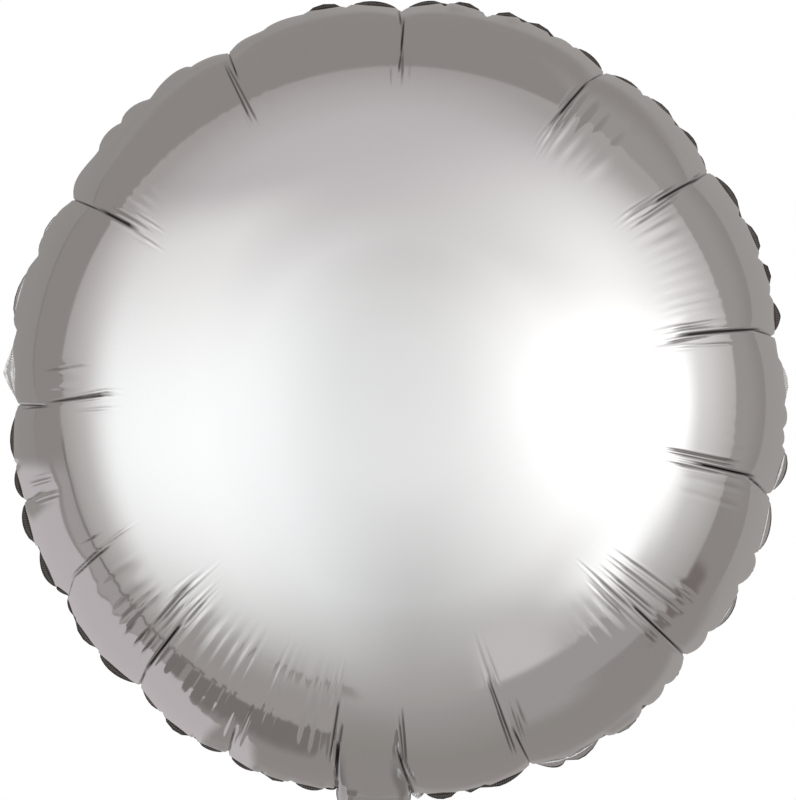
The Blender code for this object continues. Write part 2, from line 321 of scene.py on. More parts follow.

# Lobes of the rim, each from its notch to the next: where the notch is, how far in mm it stands out from
# the smooth rim, where between the notches the crest is, how far in mm the crest rises, how much of that is
# bare weld, and how pale the weld is painted: pale for a painted reflection, dark for painted shade
lobes = (
    (2.6, -0.7, 0.48, 4.2, 2.3, 0.9), (9.2, -2.3, 0.74, 1.3, 0, 0.4), (12.7, -3.1, 0.44, 5, 3.3, 0.12),
    (18.8, -0.5, 0.6, 4, 2.4, 0), (24.5, -0.6, 0.43, 4.7, 2.8, 0.2), (31.3, -0.7, 0.44, 4.4, 2.4, 0.2),
    (39.3, -2.4, 0.58, 1.4, 1, 0), (42.6, -0.3, 0.42, 2.8, 1.9, 0), (47.8, -0.2, 0.47, 3.6, 2.1, 0.2),
    (54.2, -0.5, 0.45, 3, 1.5, 0.1), (60.8, -3.2, 0.47, 3.2, 2.2, 0.1), (66.6, 0.4, 0.53, 1.4, 0, 0),
    (70.2, 0.1, 0.39, 3.6, 2.3, 0), (74.8, 1.5, 0.49, 4.6, 2.3, 0), (79.9, -1.9, 0.48, 5.2, 2.3, 0.1),
    (86.2, 0.7, 0.41, 3.7, 1.9, 0.1), (92.5, -3.2, 0.47, 4.2, 2.5, 0), (100.5, 0.3, 0.48, 3.2, 2.3, 0),
    (106.8, 1.2, 0.6, 1.3, 0, 0), (113, -0.3, 0.67, 2.1, 0, 0), (119, -4.3, 0.38, 1.8, 0, 0),
    (124.8, -0.2, 0.42, 3.1, 0, 0.5), (132.4, -1.5, 0.54, 3.2, 0, 0.3), (138, 0.5, 0.54, 2.4, 0, 0.3),
    (143.2, -0.1, 0.68, 3.7, 0, 0.3), (151.3, -3.9, 0.54, 4.1, 1, 0.7),
    (161.1, -0.3, 0.57, 5.2, 2.2, 0.75), (172.6, 0.3, 0.58, 6.6, 5, 1), (183.7, -3.4, 0.58, 4, 2.4, 0.1),
    (192.5, -0.3, 0.55, 3.4, 2.3, 0), (198.1, -0.5, 0.51, 4.8, 3.3, 0.15),
    (205.3, 0.1, 0.58, 3.2, 3.1, 0.15), (211.7, 0.9, 0.42, 1.2, 1.8, 0),
    (213.6, -1.8, 0.53, 1.7, 1.2, 0), (217, 0.1, 0.5, 3.8, 3.1, 0), (222.8, -0.5, 0.43, 4.5, 3.1, 0.1),
    (230.9, -3.6, 0.53, 3, 1.9, 0), (236, -0.7, 0.47, 3.9, 2.6, 0.1), (242, 0.2, 0.46, 3.3, 1.6, 0.1),
    (247.2, -1.3, 0.47, 3.3, 1.5, 0.1), (252.9, 0.7, 0.48, 3.1, 1.9, 0.1),
    (257.3, 0.3, 0.52, 2.4, 2, 0.1), (262.3, 0.6, 0.53, 0.8, 1.1, 0), (264, 0, 0.5, 0, 0, 0),
    (274.9, 0, 0.5, 2.8, 2.8, 1), (276.9, -0.2, 0.5, 3.3, 2.9, 0.15), (282, 0.3, 0.43, 2.8, 2.2, 0),
    (285.7, -0.7, 0.36, 4.1, 2.4, 0.1), (293, -3.6, 0.64, 4.6, 3.7, 0.65),
    (298.3, 0.5, 0.36, 4.6, 3.5, 0.8), (304.4, -0.9, 0.49, 5.5, 1.6, 0.5),
    (311.7, -0.5, 0.44, 3.2, 0.2, 0.4), (316.2, -0.6, 0.47, 3.5, 0.3, 0.4),
    (321.3, -3.7, 0.47, 3.2, 0, 0.3), (326.2, -1.5, 0.5, 5.4, 2.8, 0.6),
    (334.4, -1.2, 0.53, 3.9, 0.3, 0.4), (339.7, 0, 0.43, 4.9, 3.1, 0.65),
    (348.7, -2.3, 0.51, 5.1, 3.2, 0.65), (356.2, 0.4, 0.44, 1.1, 0, 0.4),
    (358.7, -0.3, 0.46, 2.3, 0, 0.4),
)

# The big creases: their notch, how many degrees they turn in the first 13 mm from the rim, and how many
# more over the first 50 mm
creases = (
    (12.7, 1.2, 1.9), (39.3, 0.2, 1.3), (60.8, 1.4, 1.6), (92.5, -0.3, 0.6), (119, 0.4, 0.6),
    (151.3, -0.6, -1.2), (183.7, 0.2, -1.8), (198.1, -0.4, -0.3), (213.6, -2, -1.8), (230.9, -0.9, -1.4),
    (247.2, -0.6, -0.3), (264, -0.6, -1.2), (274.9, -1, -1.2), (293, -0.4, -1.3), (321.3, 0.2, 0.5),
    (348.7, 2, 0.6),
)

# Folds: turn and share of the radius at the outer end, the same at the inner end, depth in mm with ridges
# negative, half width in mm, and how dark the shade painted inside it is
folds = (
    (12.7, 1, 14.1, 0.945, 0.8, 0.7, 1), (14.1, 0.96, 15.9, 0.75, 0.6, 1, 0.95),
    (14.7, 0.83, 15, 0.71, 0.4, 0.8, 0.6), (12.7, 0.87, 14.2, 0.71, -0.3, 1, 0),
    (17.2, 0.79, 18.2, 0.71, -0.25, 0.9, 0), (16.4, 0.83, 17.3, 0.74, 0.2, 0.8, 0.3),
    (12.9, 0.88, 13.6, 0.78, 0.2, 0.8, 0.2),
    (39.3, 1, 39.5, 0.94, 0.6, 0.6, 0.9), (39.5, 0.965, 40.6, 0.835, 0.55, 0.9, 0.95),
    (39.9, 0.975, 39.9, 0.955, 0.4, 0.7, 1), (39.6, 0.9, 39.9, 0.79, 0.25, 0.7, 0.5),
    (39, 0.88, 39.4, 0.76, 0.25, 0.8, 0.4), (40.8, 0.9, 41.9, 0.77, 0.25, 0.8, 0.4),
    (41.4, 0.84, 42.3, 0.755, -0.25, 0.8, 0), (40.5, 0.83, 41.1, 0.755, -0.3, 0.8, 0),
    (60.8, 1, 62.2, 0.95, 0.7, 0.6, 0.95), (62.2, 0.95, 63.6, 0.83, 0.55, 0.9, 0.95),
    (63.2, 0.89, 64.2, 0.8, 0.25, 0.7, 0.5), (62.6, 0.89, 63, 0.79, 0.25, 0.7, 0.4),
    (63.9, 0.83, 64.6, 0.76, -0.3, 0.8, 0), (62.3, 0.83, 62.8, 0.75, -0.25, 0.9, 0),
    (92.9, 1, 92.5, 0.955, 0.4, 0.8, 1), (92.1, 0.97, 92.5, 0.88, 0.55, 0.8, 0.95),
    (92.4, 0.885, 92.9, 0.835, 0.35, 0.7, 0.8), (92.2, 0.88, 92.3, 0.81, 0.25, 0.7, 0.5),
    (94.3, 0.845, 94.2, 0.805, 0.15, 0.6, 0.3), (91, 0.855, 91, 0.82, 0.15, 0.6, 0.2),
    (119, 1, 119.4, 0.92, 0.5, 0.6, 1), (120.4, 0.96, 120.7, 0.81, 0.3, 0.6, 0.75),
    (120, 0.96, 119.8, 0.8, 0.3, 0.6, 0.65), (121.3, 0.81, 121.4, 0.775, -0.25, 0.8, 0),
    (119.6, 0.805, 119.5, 0.775, -0.25, 0.8, 0),
    (151.3, 1, 150.5, 0.91, 0.6, 0.6, 0.95), (150.4, 0.91, 149.8, 0.81, 0.6, 1.1, 0.95),
    (148.8, 0.88, 148.4, 0.79, 0.25, 0.8, 0.35), (147.6, 0.82, 147.4, 0.77, -0.25, 0.7, 0),
    (150.5, 0.79, 150.6, 0.75, -0.3, 0.8, 0),
    (183.7, 1, 183.9, 0.915, 0.5, 0.6, 0.9), (184.3, 0.975, 184.1, 0.91, 0.3, 0.6, 0.7),
    (183.3, 0.9, 182, 0.755, 0.45, 0.8, 0.85), (182.7, 0.83, 181.4, 0.75, 0.3, 0.7, 0.6),
    (183.1, 0.82, 182, 0.745, -0.25, 0.8, 0), (181.9, 0.81, 180.8, 0.745, -0.25, 0.8, 0),
    (178.2, 0.91, 176.6, 0.82, 0.22, 0.8, 0.35), (184.8, 0.82, 184.6, 0.74, -0.25, 0.9, 0),
    (198.8, 0.985, 198.6, 0.92, 0.2, 0.7, 0.3), (198.1, 1, 197.3, 0.955, 0.4, 0.6, 0.8),
    (196.5, 0.985, 196.3, 0.93, -0.2, 0.8, 0), (195.6, 0.985, 195.4, 0.93, 0.2, 0.8, 0.2),
    (213.6, 1, 211.9, 0.962, 0.5, 0.6, 0.95), (211.7, 0.96, 209.9, 0.84, 0.4, 0.6, 0.85),
    (211.2, 0.955, 209.5, 0.86, 0.3, 0.6, 0.75), (209.3, 0.85, 208.2, 0.77, -0.25, 0.9, 0),
    (207.4, 0.89, 207.2, 0.85, 0.2, 0.7, 0.5),
    (230.9, 1, 230, 0.95, 0.6, 0.7, 1), (230, 0.95, 228.9, 0.8, 0.6, 1, 1),
    (229.6, 0.79, 229.2, 0.71, 0.3, 0.8, 0.5), (227.7, 0.92, 227.4, 0.87, 0.3, 0.8, 0.6),
    (227.3, 0.85, 226.9, 0.77, 0.25, 0.8, 0.4), (225.9, 0.92, 225.5, 0.875, 0.35, 0.9, 0.7),
    (225.6, 0.85, 224.3, 0.705, 0.4, 0.8, 0.65), (226.2, 0.83, 225.2, 0.72, 0.3, 0.7, 0.5),
    (228.2, 0.81, 227.9, 0.705, -0.35, 0.9, 0), (225.5, 0.77, 225.2, 0.69, -0.3, 0.8, 0),
    (223.9, 0.77, 223.3, 0.72, -0.25, 0.8, 0), (223.6, 0.92, 223.2, 0.885, 0.25, 0.8, 0.6),
    (247.2, 1, 246.6, 0.935, 0.5, 0.8, 0.95), (247.9, 0.95, 247.6, 0.87, 0.25, 0.8, 0.4),
    (248.2, 0.97, 248, 0.895, -0.3, 1, 0), (245.8, 0.965, 245.5, 0.895, -0.3, 1, 0),
    (264, 1, 263, 0.88, 0.7, 1.2, 1), (263.4, 0.955, 263.2, 0.835, 0.3, 0.7, 0.6),
    (262.3, 0.93, 261.9, 0.78, 0.35, 0.8, 0.8), (261.5, 0.775, 261.1, 0.72, -0.25, 0.9, 0),
    (260.2, 0.78, 260, 0.73, -0.25, 0.9, 0),
    (274.9, 1, 272.9, 0.885, 0.7, 1.1, 1), (275.6, 0.975, 273.7, 0.9, 0.3, 0.7, 0.6),
    (274.3, 0.93, 273.8, 0.79, 0.3, 0.7, 0.65), (273.9, 0.92, 273.2, 0.81, 0.25, 0.7, 0.6),
    (293, 1, 292.3, 0.885, 0.55, 0.7, 0.95), (291.5, 0.945, 291.1, 0.75, 0.35, 0.6, 0.8),
    (290.9, 0.94, 290.7, 0.755, 0.3, 0.6, 0.7), (291.9, 0.765, 291.6, 0.68, -0.25, 1, 0),
    (294.5, 0.885, 294.5, 0.825, 0.2, 0.7, 0.4), (293.6, 0.91, 293.7, 0.855, 0.2, 0.6, 0.4),
    (293.1, 0.91, 293.2, 0.83, 0.2, 0.6, 0.4),
    (321.3, 1, 321.8, 0.8, 0.6, 0.8, 1), (323.6, 0.845, 323.6, 0.71, 0.3, 0.8, 0.6),
    (322.8, 0.86, 322.8, 0.735, 0.25, 0.7, 0.5), (321.1, 0.8, 321.2, 0.69, 0.35, 0.8, 0.5),
    (320.2, 0.875, 320.4, 0.71, -0.4, 0.9, 0), (319.2, 0.79, 319.3, 0.715, 0.25, 0.8, 0.4),
    (328.1, 0.895, 328.3, 0.705, 0.25, 0.8, 0.4), (326.3, 0.895, 326.4, 0.705, 0.25, 0.8, 0.4),
    (325.8, 0.85, 326, 0.71, -0.2, 0.8, 0), (319.9, 0.9, 319.8, 0.87, 0.25, 0.7, 0.5),
    (348.7, 1, 350.8, 0.925, 0.6, 0.8, 0.95), (350.9, 0.945, 351, 0.79, 0.6, 1, 1),
    (352.6, 0.885, 352.8, 0.72, 0.35, 0.8, 0.65), (351.8, 0.88, 352, 0.73, 0.3, 0.7, 0.5),
    (350.1, 0.86, 350, 0.74, 0.3, 0.8, 0.5), (352.2, 0.85, 352.3, 0.725, -0.2, 0.7, 0),
    (350.6, 0.8, 350.5, 0.73, -0.3, 0.8, 0), (348.4, 0.93, 348.3, 0.78, 0.12, 1.6, 0.06),
    (345.6, 0.92, 345.5, 0.78, 0.1, 1.7, 0.05),
)

# Ripples that run in from the rim: first and last angle, inner and outer share of the radius, strength
ripples = (
    (13, 37, 0.73, 0.87, 0.5), (48, 62.5, 0.74, 0.93, 1.2), (107, 118.5, 0.8, 0.88, 0.4),
    (176, 184, 0.83, 0.93, 0.6), (215.5, 229, 0.78, 0.93, 0.9), (231.5, 246, 0.7, 0.94, 0.8),
    (248.5, 261.5, 0.7, 0.93, 0.6), (308.5, 319.5, 0.72, 0.83, 0.7), (321.5, 331, 0.84, 0.93, 0.9),
    (17, 37.5, 0.85, 0.95, 0.3), (121.5, 149, 0.79, 0.93, 0.22), (351, 361.5, 0.84, 0.94, 0.22),
)

neck = {
    "angle": 269.45, "halfAngle": 5.45,  # where it leaves the rim
    "begins": 0.76,  # the share of the radius from which it rises out of the dish
    "depth": 0.026, "lean": 1.40,  # how far it stands out over the rim, and how steeply it falls there
    "boxy": 8.0,  # the more, the steeper its sides
    "sidePaintedShade": 0.35, "paintedShadeAcross": (0.60, 0.80), "paintedShadeAlong": (0.86, 0.95),  # shade painted dark into the folds at its sides
    "shoulder": 0.038,  # from the rim down to where it is flat
    "rows": 24, "rowCrowd": 1.6,  # rows of the tail, closer to each other near the rim
    "tailWidth": 0.0240, "tailEnd": -0.0480, "tailFace": 0.0008,
    "narrowsBelow": 0.006, "tailFlatBelow": -0.0120,
}


def lobeAt(turn):
    # which lobe each column is on and the share of the way along it
    starts = np.array([row[0] for row in lobes])
    ends = np.append(starts[1:], starts[0] + 360.0)
    shifted = (turn - starts[0]) % 360.0 + starts[0]
    number = np.clip(np.searchsorted(starts, shifted + 1e-7, side="right") - 1, 0, len(lobes) - 1)
    return np.clip((shifted - starts[number]) / (ends - starts)[number], 0.0, 1.0), number


def rimCurves(turn):
    # the smooth rim, how far the film's crest, the weld line and the weld's edge stand out from it, how far
    # the seam leans out of its plane, and how pale the weld is painted, between painted shade and
    # reflection
    upright = np.sin(np.radians(turn - film["rimTurn"])) ** 2
    radius = film["rimWide"] + (film["rimTall"] - film["rimWide"]) * upright
    share, number = lobeAt(turn)
    table = np.array(lobes)
    notch, stands, peak, rises, bare, paintedWeldLight = (table[number, i] for i in range(6))
    chord = (stands * (1 - share) + table[(number + 1) % len(lobes), 1] * share) * mm
    bent = share ** (math.log(0.5) / np.log(peak))
    arc = (4 * bent * (1 - bent)) ** film["lobeRound"]
    for paintedWhiteLine, sharpness in film["pointed"]:
        arc = np.where(notch == paintedWhiteLine, 1 - np.abs(2 * bent - 1) ** sharpness, arc)
    rise, ends = rises * mm, (rises - bare) * mm  # how high the lobe rises, and where its film ends
    blend = film["lobeBlend"] * np.minimum(bare, 1.0)
    level = (rise * arc + ends - np.sqrt((rise * arc - ends) ** 2 + blend ** 2)) / 2 + blend / 2
    crest = chord + level - film["bulge"]
    wave = film["seamWave"] * np.sin(math.pi * share) * np.where(number % 2 == 0, 1.0, -1.0)
    return {"radius": radius, "crest": crest, "weld": crest - film["tuck"] * arc,
            "edge": chord + rise * arc, "wave": wave, "paintedWeldLight": paintedWeldLight}


def leanAt(turn, share):
    # how far a column has turned by its share of the radius, spread evenly between creases
    order = sorted(creases)
    starts = [row[0] for row in order]
    kick = np.interp(turn, starts, [row[1] for row in order], period=360.0)
    slant = np.interp(turn, starts, [row[2] for row in order], period=360.0)
    early = smoothStep(0.0, film["kickShare"], 1 - share)
    return kick * early + slant * np.clip((1 - share) / film["slantShare"], 0, 1)


def filmColumns():
    # dense at the creases and folds, where the film turns sharply, with a column on every notch
    pace = 0.01  # degrees between the places that are looked at
    fine = np.arange(0.0, 360.0, pace)
    nearest = np.min([np.abs(turnBetween(fine, row[0])) for row in creases], axis=0)
    for row in folds:
        ends = [row[0] - leanAt(row[0], row[1]), row[2] - leanAt(row[2], row[3])]
        middle, half = sum(ends) / 2, abs(ends[0] - ends[1]) / 2
        nearest = np.minimum(nearest, np.maximum(np.abs(turnBetween(fine, middle)) - half, 0))
    step = np.minimum(film["columnFinest"] + film["columnGrowth"] * nearest, film["columnWidest"])
    stops = sorted({row[0] % 360.0 for row in lobes} | {row[0] % 360.0 for row in creases})
    columns = []
    for first, last in zip(stops, stops[1:] + [stops[0] + 360.0]):
        path = np.arange(first, last, pace)
        crowd = np.cumsum(1.0 / np.interp(path % 360.0, fine, step))
        count = max(2, math.ceil(crowd[-1] * pace))
        columns += list(np.interp(np.arange(count) / count * crowd[-1], crowd - crowd[0], path))
    return np.array(columns)


def filmRows():
    # slopes of the film from the upright rim in to the flat pole, from their distance along it
    slopes = np.radians(np.linspace(90.0, 0.02, 4000))
    share = np.sqrt(np.sin(slopes))
    along = np.concatenate([[0], np.cumsum(-np.diff(slopes) / 2 / ((share[1:] + share[:-1]) / 2))])
    height = np.concatenate([[0], np.cumsum(-np.diff(slopes) / 2 * (share[1:] + share[:-1]) / 2)])
    distance = np.array(film["rows"]) * mm
    there = distance / ((film["rimWide"] + film["rimTall"]) / 2)
    return (np.interp(there, along, slopes), np.interp(there, along, share),
            np.interp(there, along, height), distance, height[-1])


def crossing(away, width):
    return np.exp(-(away / width) ** 2)


def filmField(rim, turn, share, distance, seen):
    # how far the film stands out along its normal, how dark its painted fold shade is, and the ripple's
    # strength; seen is the share of the radius as the eye has it from the front, where folds and ripples
    # are given
    away = np.min([np.abs(turnBetween(turn, row[0])) for row in creases], axis=0)
    pinch = film["pinch"] * np.exp(-away / film["pinchWide"])
    out = (rim["crest"] + pinch) * (1 - np.clip(distance / film["lobeFade"], 0, 1) ** 2) ** 2
    out = out - pinch * (1 - np.clip(distance / film["pinchFade"], 0, 1) ** 2) ** 2
    out = out + (rim["weld"] - rim["crest"]) * (1 - np.clip(distance / film["tuckFade"], 0, 1)) ** 2
    starts = sorted(row[0] for row in creases)
    ahead = np.min([(s - turn - 1e-9) % 360.0 for s in starts], axis=0)
    behind = np.min([(turn - s) % 360.0 for s in starts], axis=0)
    swell = 1 - np.abs(2 * behind / (ahead + behind) - 1) ** film["pillowFlat"]
    out = out + film["pillow"] * smoothStep(film["pillowBegins"], 1.0, share) * swell
    leaning = turn + leanAt(turn, share)
    dark = np.zeros_like(out)
    (startLow, startHigh), (endLow, endHigh) = film["foldStart"], film["foldEnd"]
    for outerTurn, outerShare, innerTurn, innerShare, depth, width, paintedShade in folds:
        way = (outerShare - seen) / (outerShare - innerShare)
        middle = outerTurn + (innerTurn - outerTurn) * way
        across = np.radians(turnBetween(leaning, middle)) * rim["radius"] * share / mm
        starting = smoothStep(outerShare + startLow, outerShare + startHigh, seen)
        begins = 1.0 if outerShare >= 1 else 1 - starting
        lasting = smoothStep(innerShare + endLow, innerShare + endHigh, seen) * begins
        width = width * film["foldWidth"]
        groove = crossing(across, width)
        lips = crossing(np.abs(across) - film["lipAway"] * width, width)
        out = out - depth * mm * lasting * (groove - film["lip"] * lips)
        # painted shade: a dark line down the middle of each fold
        line = np.minimum(1.0, film["paintedShadeGain"] * crossing(across, width * film["paintedShadeWidth"]))
        dark = np.maximum(dark, paintedShade * lasting * line)
    ripple = np.zeros_like(out)
    ends, within, beyond = film["rippleEnds"], film["rippleInner"], film["rippleOuter"]
    for first, last, inner, outer, strength in ripples:
        sides = smoothStep(first, first + ends, turn) * (1 - smoothStep(last - ends, last, turn))
        zone = smoothStep(inner, inner + within, seen) * (1 - smoothStep(outer - beyond, outer, seen))
        ripple = np.maximum(ripple, strength * sides * zone)
    return out, dark, ripple


def neckHeights(shares, slopes, heights):
    # the film's height down the middle of the neck: it leaves the dish early and leans over the rim, by a
    # curve that keeps the slope at both ends; the dish's own slope is cut short of upright
    middle = (film["rimWide"] + film["rimTall"]) / 2
    inward, dish, steep = shares[::-1], heights[::-1], np.tan(np.minimum(slopes[::-1], 1.5))
    run = 1 - neck["begins"]
    way = np.clip((inward - neck["begins"]) / run, 0, 1)
    first, last = np.interp(neck["begins"], inward, dish), neck["depth"] / middle
    fall = (first * (2 * way ** 3 - 3 * way ** 2 + 1) + last * (3 * way ** 2 - 2 * way ** 3)
            - np.interp(neck["begins"], inward, steep) * run * (way ** 3 - 2 * way ** 2 + way)
            - neck["lean"] * run * (way ** 3 - way ** 2))
    return inward, np.where(way > 0, fall, dish)


def flatFilm(name):
    # the film before it is blown up: its vertices carry what the Geometry Nodes need
    columns = filmColumns()
    slopes, shares, heights, distances, poleHeight = filmRows()
    turn, share = np.meshgrid(columns, shares)
    distance, slope, height = (
        np.broadcast_to(row[:, None], turn.shape) for row in (distances, slopes, heights))
    nearer = height * (film["rimWide"] + film["rimTall"]) / 2
    rim = rimCurves(turn)
    seen = share * view["distance"] / (view["distance"] - nearer)
    out, paintedFoldShading, ripple = filmField(rim, turn, share, distance, seen)
    leaning = turn + leanAt(turn, share)
    wave = rim["wave"] * (1 - np.clip(distance / film["seamFade"], 0, 1)) ** 2
    away = np.abs(turnBetween(turn, neck["angle"])) / neck["halfAngle"]
    inward, atNeck = neckHeights(shares, slopes, heights)
    height = height + (np.interp(share, inward, atNeck) - height) * np.clip(1 - away ** neck["boxy"], 0, 1)
    # painted shade: the film's colour darkens towards the neck's sides, near the rim
    shaded = smoothStep(*neck["paintedShadeAcross"], away) * (away < 1 + 1e-6) * smoothStep(*neck["paintedShadeAlong"], share)
    paintedFoldShading = np.maximum(paintedFoldShading, neck["sidePaintedShade"] * shaded)
    dish = {"turn": leaning, "slope": slope, "share": share, "height": height, "out": out, "paintedFoldShading": paintedFoldShading,
            "ripple": ripple, "wave": wave, "ring": turn}

    # the tail hangs from the rim's columns in the neck, and gets flat and narrow
    inNeck = np.where(away[0] <= 1 + 1e-6)[0]
    tail = {key: value[0][inNeck] for key, value in dish.items()}
    along = np.linspace(0.0, 1.0, neck["rows"] + 1)[1:, None] ** neck["rowCrowd"]
    spread = turnBetween(tail["ring"], neck["angle"]) / neck["halfAngle"]
    rimHere = rim["radius"][0][inNeck] + tail["out"]
    rimX = rimHere * np.cos(np.radians(tail["turn"]))
    rimZ = view["middle"] + rimHere * np.sin(np.radians(tail["turn"]))
    tailZ = rimZ + (neck["tailEnd"] - rimZ) * along
    narrow = smoothStep(neck["narrowsBelow"], neck["tailFlatBelow"], tailZ)
    tailX = rimX + (spread * neck["tailWidth"] / 2 - rimX) * narrow
    falling = neck["lean"] * neck["shoulder"] / neck["depth"]
    swell = np.clip(1 - (rimZ - tailZ) / neck["shoulder"], 0, 1) ** falling

    # vertices: the rows of the dish, its pole, the rows of the tail
    rows, wide, pole = len(shares), len(columns), turn.size
    values = {key: np.concatenate([dish[key].ravel(), [poleHeight if key == "height" else 0.0],
                                   np.tile(tail[key], neck["rows"])]) for key in dish}
    values["paintedFoldShading"][pole + 1:] = (tail["paintedFoldShading"] * swell).ravel()
    values["isTail"] = np.concatenate([np.zeros(pole + 1), np.ones(tailX.size)])
    values["swell"] = np.concatenate([np.zeros(pole + 1), swell.ravel()])
    places = np.zeros((pole + 1 + tailX.size, 3))
    places[pole + 1:, 0] = tailX.ravel()
    places[pole + 1:, 2] = tailZ.ravel()
    index = np.arange(pole).reshape(rows, wide)
    beside = np.roll(index, -1, axis=1)
    below = np.concatenate([inNeck[None, :], np.arange(tailX.size).reshape(tailX.shape) + pole + 1])
    mesh = bpy.data.meshes.new(name)
    mesh.from_pydata(places.tolist(), [], (
        facesBetween(index[:-1], beside[:-1], beside[1:], index[1:])
        + facesBetween(index[-1], beside[-1], np.full(wide, pole))
        + facesBetween(below[:-1, :-1], below[1:, :-1], below[1:, 1:], below[:-1, 1:])))
    storeOnPoints(mesh, values)
    mesh.shade_smooth()
    return newObject(name, mesh)


def makeTree(name, settings):
    # a tree that has a named input for each setting
    kinds = {float: "NodeSocketFloat", int: "NodeSocketInt", bpy.types.Material: "NodeSocketMaterial"}
    tree = bpy.data.node_groups.new(name, "GeometryNodeTree")
    tree.is_modifier = True
    tree.interface.new_socket("Geometry", in_out="INPUT", socket_type="NodeSocketGeometry")
    for label, value in settings.items():
        tree.interface.new_socket(label, in_out="INPUT", socket_type=kinds[type(value)])
    tree.interface.new_socket("Geometry", in_out="OUTPUT", socket_type="NodeSocketGeometry")
    return tree


def useTree(obj, tree, settings):
    modifier = obj.modifiers.new(tree.name, "NODES")
    modifier.node_group = tree
    for item in tree.interface.items_tree:
        if item.item_type == "SOCKET" and item.in_out == "INPUT" and item.name in settings:
            modifier[item.identifier] = settings[item.name]


def bakePiece(obj):
    # the evaluated result becomes a plain mesh, with no modifier left on it
    evaluated = obj.evaluated_get(bpy.context.evaluated_depsgraph_get())
    mesh = bpy.data.meshes.new_from_object(evaluated)
    obj.modifiers.clear()
    obj.data = mesh
    return obj


def inflateTree(settings):
    tree = makeTree("inflateFilm", settings)
    given = addNode(tree, "NodeGroupInput").outputs
    sums = {name: given[name] for name in settings}
    for name in ("turn", "slope", "share", "height", "out", "ripple", "wave", "ring", "isTail", "swell"):
        stored = addNode(tree, "GeometryNodeInputNamedAttribute", {"data_type": "FLOAT"}, {"Name": name})
        sums[name] = stored.outputs["Attribute"]
    wander = addNode(tree, "ShaderNodeCombineXYZ", inputs={0: sums["ring"], 2: sums["Seed"]})
    waver = addNode(tree, "ShaderNodeTexNoise", {"noise_dimensions": "3D"}, {
        "Vector": wander.outputs[0], "Scale": given["Wander Per Degree"], "Detail": 2.0})
    sums["waver"] = waver.outputs[0]
    for name, operation, *terms in (
        ("rippleRound", "DIVIDE", "ring", "Ripple Pitch"),
        ("rippleLate", "MULTIPLY_ADD", "waver", "Ripple Wander", "rippleRound"),
        ("rippleTurn", "MULTIPLY", "rippleLate", 2 * math.pi),
        ("rippleWave", "COSINE", "rippleTurn"),
        ("rippleOut", "MULTIPLY", "rippleWave", "Ripple Depth"),
        ("outAll", "MULTIPLY_ADD", "rippleOut", "ripple", "out"),
        ("turnBack", "SUBTRACT", "turn", "Rim Turn"),
        ("turnBackR", "RADIANS", "turnBack"),
        ("upright", "SINE", "turnBackR"),
        ("uprightSquared", "MULTIPLY", "upright", "upright"),
        ("rimGain", "SUBTRACT", "Rim Tall", "Rim Wide"),
        ("rimHere", "MULTIPLY_ADD", "rimGain", "uprightSquared", "Rim Wide"),
        ("steep", "SINE", "slope"),
        ("gentle", "COSINE", "slope"),
        ("smoothRadius", "MULTIPLY", "rimHere", "share"),
        ("radius", "MULTIPLY_ADD", "outAll", "steep", "smoothRadius"),
        ("rimBoth", "ADD", "Rim Tall", "Rim Wide"),
        ("rimMean", "MULTIPLY", "rimBoth", 0.5),
        ("smoothDepth", "MULTIPLY", "rimMean", "height"),
        ("depth", "MULTIPLY_ADD", "outAll", "gentle", "smoothDepth"),
        ("fromSeam", "ADD", "depth", "Foot"),
        ("sideways", "MULTIPLY_ADD", "fromSeam", "Side", "wave"),
        ("turnR", "RADIANS", "turn"),
        ("turnCosine", "COSINE", "turnR"),
        ("turnSine", "SINE", "turnR"),
        ("x", "MULTIPLY", "radius", "turnCosine"),
        ("z", "MULTIPLY_ADD", "radius", "turnSine", "Middle Height"),
        ("tailFlat", "MULTIPLY", "Side", "Tail Face"),
        ("tailGap", "SUBTRACT", "sideways", "tailFlat"),
        ("tailY", "MULTIPLY_ADD", "tailGap", "swell", "tailFlat"),
    ):
        inputs = {i: sums.get(term, term) for i, term in enumerate(terms)}
        sums[name] = addNode(tree, "ShaderNodeMath", {"operation": operation}, inputs).outputs[0]
    dish = addNode(tree, "ShaderNodeCombineXYZ", inputs={0: sums["x"], 1: sums["sideways"], 2: sums["z"]})
    flat = addNode(tree, "GeometryNodeInputPosition")
    lift = addNode(tree, "ShaderNodeCombineXYZ", inputs={1: sums["tailY"]})
    tail = addNode(tree, "ShaderNodeVectorMath", {"operation": "ADD"}, {
        0: flat.outputs[0], 1: lift.outputs[0]})
    place = addNode(tree, "ShaderNodeMix", {"data_type": "VECTOR"}, {
        0: sums["isTail"], 4: dish.outputs[0], 5: tail.outputs[0]})
    blown = addNode(tree, "GeometryNodeSetPosition", inputs={
        "Geometry": given["Geometry"], "Position": place.outputs[1]})
    crinkle = addNode(tree, "ShaderNodeTexNoise", {"noise_dimensions": "4D"}, {
        "W": sums["Seed"], "Scale": given["Crinkles Per Metre"], "Detail": 2.0})
    normal = addNode(tree, "GeometryNodeInputNormal")
    amount = addNode(tree, "ShaderNodeMath", multiply, {0: crinkle.outputs[0], 1: given["Crinkle Depth"]})
    push = addNode(tree, "ShaderNodeVectorMath", {"operation": "SCALE"}, {
        0: normal.outputs[0], "Scale": amount.outputs[0]})
    crinkled = addNode(tree, "GeometryNodeSetPosition", inputs={
        "Geometry": blown.outputs[0], "Offset": push.outputs[0]})
    real = addNode(tree, "GeometryNodeRealizeInstances", inputs={0: crinkled.outputs[0]})
    finish = addNode(tree, "GeometryNodeSetMaterial", inputs={
        "Geometry": real.outputs[0], "Material": given["Film"]})
    addNode(tree, "NodeGroupOutput", inputs={0: finish.outputs[0]})
    return tree


